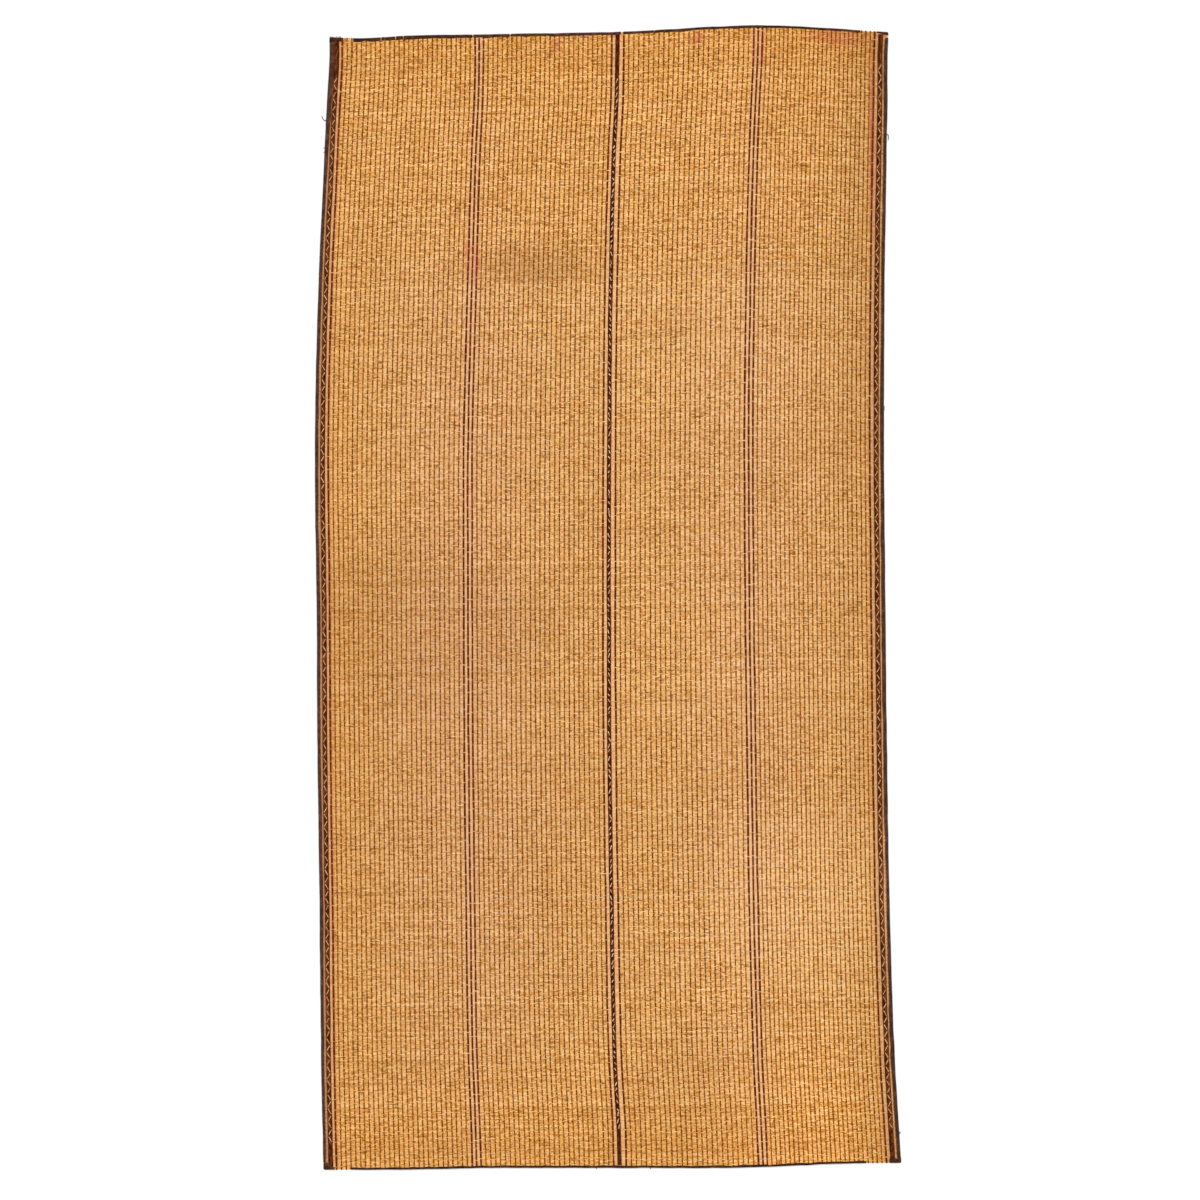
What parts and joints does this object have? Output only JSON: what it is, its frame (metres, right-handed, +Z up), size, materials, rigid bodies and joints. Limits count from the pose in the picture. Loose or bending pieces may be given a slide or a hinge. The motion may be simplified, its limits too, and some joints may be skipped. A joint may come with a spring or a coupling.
{
  "type": "reed and leather floor mat",
  "caption": "Large flat floor mat of reeds laid side by side and woven together with leather thongs, with dark woven bands and a leather binding round the rim.",
  "frame": {"origin": "middle of the bounding box, on the floor that the mat lies on", "axes": "+X across the mat in line with its reeds, +Y along its leather thongs, +Z up out of its best side"},
  "size_m": [2.5499, 4.9803, 0.0071],
  "materials": {
    "reed": "satin, dry split reed",
    "dark_leather": "matte",
    "rim_leather": "matte, worn",
    "woven_leather": "matte"
  },
  "bodies": {
    "root": {"reed_panel": "reed", "dark_thong_left_border": "dark_leather", "dark_thong_left_outer": "dark_leather", "dark_thong_left_middle": "dark_leather", "dark_thong_left_inner": "dark_leather", "dark_thong_centre_left": "dark_leather", "dark_thong_centre_right": "dark_leather", "dark_thong_right_inner": "dark_leather", "dark_thong_right_middle": "dark_leather", "dark_thong_right_outer": "dark_leather", "dark_thong_right_border": "dark_leather", "woven_band_left": "woven_leather", "woven_band_centre": "woven_leather", "woven_band_right": "woven_leather", "side_binding_left": "rim_leather", "side_binding_right": "rim_leather", "end_binding_near": "rim_leather", "end_binding_far": "rim_leather", "corner_wrap_near_left": "rim_leather", "corner_wrap_near_right": "rim_leather", "corner_wrap_far_left": "rim_leather", "corner_wrap_far_right": "rim_leather", "loose_end_left": "rim_leather", "loose_end_right": "rim_leather"}
  },
  "joints": []
}
